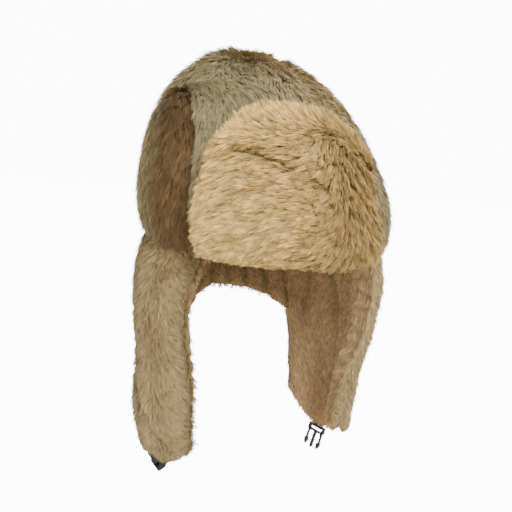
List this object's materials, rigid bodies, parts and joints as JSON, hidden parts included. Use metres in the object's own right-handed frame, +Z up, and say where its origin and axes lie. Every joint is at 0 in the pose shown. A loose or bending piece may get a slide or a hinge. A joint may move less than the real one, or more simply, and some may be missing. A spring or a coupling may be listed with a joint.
{
  "type": "aviator hat",
  "caption": "Trapper-style aviator hat of plush fur cloth, with a turned-up front flap, long hanging ear flaps, a neck band and a small side-release buckle.",
  "frame": {"origin": "middle of the head opening, in the plane of the rim seam where the flaps hang from the crown", "axes": "+Z up through the crown, -Y the way the wearer faces, +X the wearer's left"},
  "size_m": [0.2443, 0.2862, 0.4163],
  "materials": {
    "fur": "deep plush pile, tan with paler tips",
    "lining": "quilted tan cloth",
    "webbing": "black woven webbing",
    "plastic": "black moulded plastic"
  },
  "bodies": {
    "root": {"crown_front": "fur", "crown_back": "fur", "crown_gusset_right": "fur", "crown_gusset_left": "fur", "crown_wall": "lining", "front_flap_face": "fur", "front_flap_back": "fur", "neck_band_outer": "fur", "neck_band_lining": "fur", "ear_flap_left_outer": "fur", "ear_flap_left_lining": "fur", "ear_flap_right_outer": "fur", "ear_flap_right_lining": "fur", "strap_left": "webbing", "strap_right": "webbing", "buckle_plug": "plastic", "buckle_socket": "plastic"}
  },
  "joints": []
}
